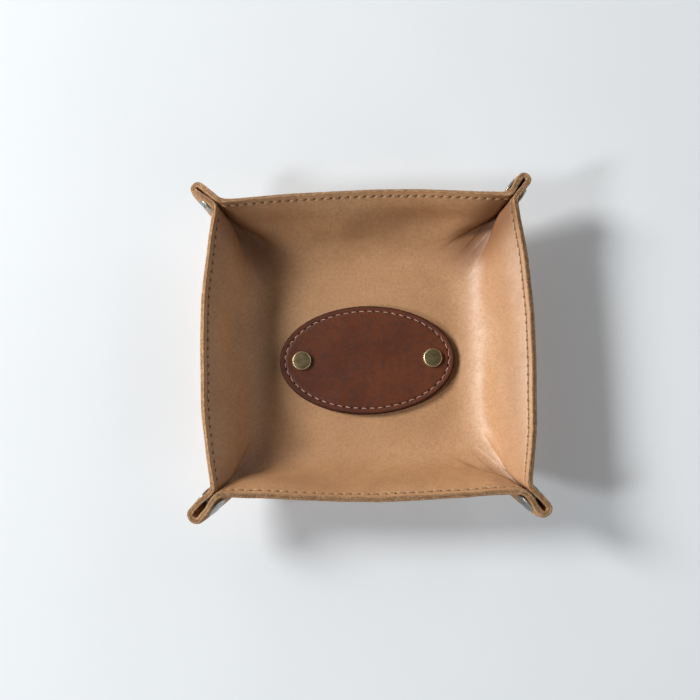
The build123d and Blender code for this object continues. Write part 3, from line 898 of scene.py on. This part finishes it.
RIM_THREAD = thread("tan_thread", srgb(232, 196, 152), srgb(186, 142, 98))
BADGE_THREAD = thread("rose_thread", srgb(238, 204, 184), srgb(188, 144, 126))
# The rivet caps' rim gets a painted highlight
BRASS = metal("antique_brass", srgb(140, 126, 94), srgb(116, 100, 70), 0.40, 0.52,
              rim_mark=srgb(222, 210, 172))
NICKEL = metal("satin_nickel", srgb(176, 176, 172), srgb(142, 140, 134), 0.25, 0.38)
EDGE = cut_edge()


def show(obj, slot, *nodes):
    """Put a piece in the scene, on the tray's one body, in place of the nodes it stands for."""
    scene.collection.objects.link(obj)
    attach(obj, "root")
    if nodes:
        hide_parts(*nodes)


# The two leather layers
lining = face_rows(0.0, True) + edge_rows(0.0, LAYER, (WORN_BEVEL, GLUED_BEVEL), 0)
lining += face_rows(LAYER, False, coarse=True)
show(shell_object("lining_leather_layer", lining, [tan_leather(), EDGE]), "lining_leather", "lining")

panel = face_rows(LEATHER - LAYER, True, coarse=True)
panel += edge_rows(LEATHER - LAYER, LEATHER, (GLUED_BEVEL, WORN_BEVEL), 11) + face_rows(LEATHER, False)
show(shell_object("outer_leather_layer", panel, [outer_leather(), EDGE]), "panel_leather", "outer_panel")


# Stitches
ARCH = STITCH_RISE * np.sin(np.linspace(0, math.pi, STITCH_POINTS)) ** 0.6


def stitch_mesh(name, stitches, material, half_wide, half_high):
    """Lengths of thread; each stitch is its row of middle points, with their side and up ways."""
    verts, faces, uvs = [], [], []
    angle = np.arange(SPOKES)[:, None] * TAU / SPOKES
    run = np.linspace(0, 1, STITCH_POINTS)
    taper = np.sqrt(np.clip(1 - (2 * run - 1) ** 6, 0.05, 1))
    for number, (line, side, up) in enumerate(stitches):
        start = len(verts)
        for k in range(STITCH_POINTS):
            wide, high = half_wide * taper[k], half_high * taper[k]
            verts.extend(line[k] + side[k] * np.cos(angle) * wide + up[k] * np.sin(angle) * high)
        for k in range(STITCH_POINTS - 1):
            here, there = number + run[k], number + run[k + 1]
            for s in range(SPOKES):
                a, b = start + k * SPOKES + s, start + k * SPOKES + (s + 1) % SPOKES
                faces.append((a, b, b + SPOKES, a + SPOKES))
                low, high = s / SPOKES, (s + 1) / SPOKES
                uvs.extend([(here, low), (here, high), (there, high), (there, low)])
        for k, way in ((0, -1), (STITCH_POINTS - 1, 1)):
            faces.append([start + k * SPOKES + s for s in range(SPOKES)][::way])
            uvs.extend([(number + run[k], 0.5)] * SPOKES)
    mesh = smooth_mesh(name, np.array(verts), faces, [material])
    mesh.uv_layers.new(name="around").data.foreach_set("uv", np.array(uvs, float).ravel() * 6)
    return bpy.data.objects.new(name, mesh)


def rim_stitches(name, skin, face_way):
    """The rim's seam on one face of the tray; face_way is 1 outside and -1 inside."""
    path, normal = surface(below_edge(STITCH_INSET, skin), skin)
    above, _ = surface(below_edge(STITCH_INSET - FACE_STEP, skin), skin)
    up_face = unit(above - path)
    shares = np.linspace(*STITCH_SPAN, STITCH_POINTS)
    stitches = []
    for number in range(RIM_SEAM.count):
        first, last = RIM_SEAM.hole_columns[number:number + 2]
        columns = first + (last - first) * shares
        outward = unit(ring_sample(normal, columns)) * face_way
        upward = unit(ring_sample(up_face, columns))
        lift = (ARCH - STITCH_SINK)[:, None] - EAR_SINK * ring_sample(EAR[:, None], columns)
        slip = (shares - 0.5) * RIM_SLANT + rng.normal(0, RIM_JITTER)
        line = ring_sample(path, columns) + outward * lift + upward * slip[:, None]
        stitches.append((line, upward, outward))
    return stitch_mesh(name, stitches, RIM_THREAD, *RIM_THREAD_HALF)


show(rim_stitches("rim_stitches_inside", 0.0, -1), "rim_thread")
show(rim_stitches("rim_stitches_outside", LEATHER, 1), "rim_thread")


# Badge
def badge_place(points):
    """Points given from the badge's middle on the floor, in the tray's place."""
    out = np.array(points, float)
    out[..., :2] = turned(out[..., :2], BADGE_TURN) + BADGE_CENTRE
    out[..., 2] += FLOOR_TOP
    return out


badge_turns = np.arange(BADGE_COLUMNS) * TAU / BADGE_COLUMNS


def badge_ring(inset):
    """Ellipse of the badge's outline drawn in by an even distance, and its outward ways."""
    a, b = BADGE_HALF
    p = np.stack([a * np.cos(badge_turns), b * np.sin(badge_turns)], -1)
    n = unit(np.stack([np.cos(badge_turns) / a, np.sin(badge_turns) / b], -1))
    return p - n * inset, n


badge_path, badge_outward = badge_ring(BADGE_SEAM_INSET)
BADGE_SEAM = Seam(badge_path, BADGE_PITCH, BADGE_HOLE_WIDTH)


def badge_object():
    rows, burnish = [], []

    def add(inset, height, share, shrink=1):
        ring = badge_ring(inset)[0] * shrink
        rows.append(np.column_stack([ring, np.broadcast_to(height, BADGE_COLUMNS)]))
        burnish.append(np.broadcast_to(share, BADGE_COLUMNS))

    for shrink in (0.3, 0.6, 0.85):
        add(BADGE_INSETS[0], BADGE_THICK, 0, shrink)
    for inset in BADGE_INSETS:
        off = inset - BADGE_SEAM_INSET
        hole = BADGE_HOLE_DEPTH * bell(off, BADGE_HOLE_SPREAD) * BADGE_SEAM.holes
        rim_mark = np.clip((2.0 - inset) / 2.2, 0, 1) * 0.4
        # The stitch holes get painted shade; the band near the edge is burnished darker
        add(inset, BADGE_THICK - BADGE_LINE_DEPTH * bell(off, BADGE_LINE_WIDTH) - hole,
            np.maximum(BADGE_SEAM.holes * bell(off, 0.3), rim_mark))
    for share in np.linspace(0, 1, 9):
        turn = math.pi / 2 * share
        add(BADGE_ROUND * (1 - math.sin(turn)), BADGE_THICK - BADGE_ROUND * (1 - math.cos(turn)),
            0.35 + 0.6 * share)
    for height in (1.4, 0.9, 0.45, 0.15):
        add(0.0, height, 0.95)
    add(0.12, 0.0, 0.95)
    ends = badge_place([[0, 0, BADGE_THICK], [0, 0, 0]])
    mesh = ring_mesh("badge_oval", badge_place(rows), ends, [badge_leather()], flipped=True)
    paint(mesh, "burnish", np.append(np.concatenate(burnish), [0, 1]))
    return bpy.data.objects.new("badge_oval", mesh)


def badge_stitches():
    shares = np.linspace(*BADGE_STITCH_SPAN, STITCH_POINTS)
    height = BADGE_THICK - BADGE_LINE_DEPTH - BADGE_STITCH_SINK + ARCH
    up = np.tile([0.0, 0.0, 1.0], (STITCH_POINTS, 1))
    stitches = []
    for number in range(BADGE_SEAM.count):
        columns = BADGE_SEAM.columns_at(number + shares)
        outward = unit(ring_sample(badge_outward, columns))
        slip = (shares - 0.5) * BADGE_SLANT + rng.normal(0, BADGE_JITTER)
        line = ring_sample(badge_path, columns) + outward * slip[:, None]
        side = np.column_stack([outward, np.zeros(STITCH_POINTS)])
        stitches.append((badge_place(np.column_stack([line, height])), side, up))
    return stitch_mesh("badge_stitches", stitches, BADGE_THREAD, *BADGE_THREAD_HALF)


show(badge_object(), "badge_leather", "badge")
show(badge_stitches(), "badge_thread")


# Metal
def turned_object(name, profile, matrix, material, spokes=96):
    """Piece of revolution from radii and heights, placed by a matrix in metres."""
    angle = np.arange(spokes) * TAU / spokes
    rings = [np.column_stack([r * np.cos(angle), r * np.sin(angle), np.full(spokes, z)])
             for r, z in profile]
    ends = [[0, 0, profile[0][1]], [0, 0, profile[-1][1]]]
    mesh = ring_mesh(name, np.array(rings), ends, [material], flipped=True)
    mesh.transform(matrix)
    return bpy.data.objects.new(name, mesh)


def dome_profile(radius, top, edge, rim_round, base=0.0, flatness=2.6):
    """Domed cap from its crown to its flat underside, with a rolled rim."""
    out = []
    for share in np.linspace(0.02, 1, 14):
        out.append(((radius - rim_round) * share, edge + (top - edge) * (1 - share ** flatness)))
    for turn in np.linspace(0, math.pi / 2, 7)[1:]:
        out.append((radius - rim_round * (1 - math.sin(turn)), edge - rim_round * (1 - math.cos(turn))))
    return out + [(radius, base + 0.1), (radius - 0.1, base)]


def snap_place(corner, axis):
    """Where a snap's outer piece sits on the ear's face, and the way it looks."""
    height = np.array([corner.snap_height])
    slope = (corner.snap_slit - corner.rim_slit) / FULL_GAP_DEPTH
    out = corner.across(height, axis)[0]
    spot = corner.neck(height)[0] + corner.heading(height)[0] * SNAP_ALONG
    spot = spot + out * (corner.tip_slit(height)[0] + LEATHER)
    matrix = Vector((*out, slope)).normalized().to_track_quat("Z", "Y").to_matrix().to_4x4()
    matrix.translation = Vector((*spot, corner.snap_height)) * MM
    return matrix


RIVET_CAP = dome_profile(4.5, 1.7, 1.5, 0.62, flatness=3.5)
SNAP_CAP = dome_profile(4.8, 0.75, 0.34, 0.28, base=-0.45)
SNAP_RING = [(0.02, -0.2), (1.5, -0.2), (1.66, 0.28), (1.9, 0.46), (2.4, 0.52), (3.2, 0.5), (3.9, 0.4),
             (4.2, 0.28), (4.36, 0.08), (4.4, -0.15), (4.4, -0.4), (4.3, -0.45)]

for side, out in (("left", -RIVET_OUT), ("right", RIVET_OUT)):
    matrix = Matrix.Translation(badge_place([out, 0, BADGE_THICK]) * MM)
    cap = turned_object(f"{side}_rivet_dome", RIVET_CAP, matrix, BRASS)
    show(cap, "antique_brass", f"{side}_rivet_cap")
for corner in corners:
    for axis, profile, shown, node in (("y", SNAP_CAP, "snap_dome", "snap_cap"),
                                       ("x", SNAP_RING, "snap_eyelet", "snap_ring")):
        piece = turned_object(f"{corner.name}_{shown}", profile, snap_place(corner, axis), NICKEL)
        show(piece, "snap_nickel", f"{corner.name}_{node}")

# Posts, sockets and studs keep their own meshes
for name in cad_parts:
    obj = bpy.data.objects.get(name)
    if obj is not None and not obj.hide_render:
        for slot in obj.material_slots:
            slot.material = BRASS if "rivet" in name else NICKEL


# Floor, light and camera
FLOOR_HALF = 3000.0
square = np.array([(-1, -1, 0), (1, -1, 0), (1, 1, 0), (-1, 1, 0)]) * FLOOR_HALF
floor = bpy.data.objects.new("floor", smooth_mesh("floor", square, [(0, 1, 2, 3)], [pale_floor()]))
scene.collection.objects.link(floor)

# The world is nearly dark, and a little lighter in what shines
WORLD_DIM, WORLD_SHINE = 0.02, 0.22
scene.world = scene.world or bpy.data.worlds.new("world")
sky = Nodes("world", scene.world, "Background")
is_shine = sky.node("ShaderNodeLightPath").outputs["Is Glossy Ray"]
sky.plug(sky.shader, Color=(0.95, 0.98, 1.0, 1), Strength=sky.remap(is_shine, 0, 1, WORLD_DIM, WORLD_SHINE))

# Two soft lamps on the left, and weak broad ones on the right and behind: way, size, power and colour
LAMP_DISTANCE = 2.0
LAMPS = {
    "key": ((-1.56, 0.555, 1.0), 0.62, 42.8, (1.0, 0.985, 0.96)),
    "second": ((-1.45, -0.5, 1.0), 0.38, 16.3, (0.97, 1.0, 1.03)),
    "right_front_fill": ((2.5, -2.0, 1.0), 1.2, 7.0, (1.0, 1.0, 1.0)),
    "right_back_fill": ((2.3, 1.8, 1.0), 1.2, 7.2, (1.0, 1.0, 1.0)),
    "back_fill": ((-1.0, 1.8, 1.0), 1.2, 4.0, (1.0, 1.0, 1.0)),
}
LIT_POINT = Vector((0, 0, 0.01))
for name, (way, size, energy, color) in LAMPS.items():
    data = bpy.data.lights.new(name, "AREA")
    data.shape, data.size, data.energy, data.color = "DISK", size, energy, color
    lamp = bpy.data.objects.new(name, data)
    lamp.location = Vector(way).normalized() * LAMP_DISTANCE
    lamp.rotation_euler = (LIT_POINT - lamp.location).to_track_quat("-Z", "Y").to_euler()
    scene.collection.objects.link(lamp)

# The camera looks down from half a metre, tilted towards the front and turned a little
CAMERA_TILT, CAMERA_TURN, CAMERA_REACH = math.radians(10.2), math.radians(0.54), 0.5
CAMERA_FOOT = (-9.1 * MM, 2.5 * MM, 0)
camera_data = bpy.data.cameras.new("camera")
camera_data.lens, camera_data.clip_start = 52.6, 0.01
camera = bpy.data.objects.new("camera", camera_data)
aim = Matrix.Rotation(-CAMERA_TURN, 4, "Z")
rise = Vector((0, -math.sin(CAMERA_TILT), math.cos(CAMERA_TILT))) * CAMERA_REACH
camera.location = aim @ (Vector(CAMERA_FOOT) + rise)
camera.rotation_euler = (CAMERA_TILT, 0, -CAMERA_TURN)
scene.collection.objects.link(camera)
scene.camera = camera
scene.view_settings.view_transform = "Standard"
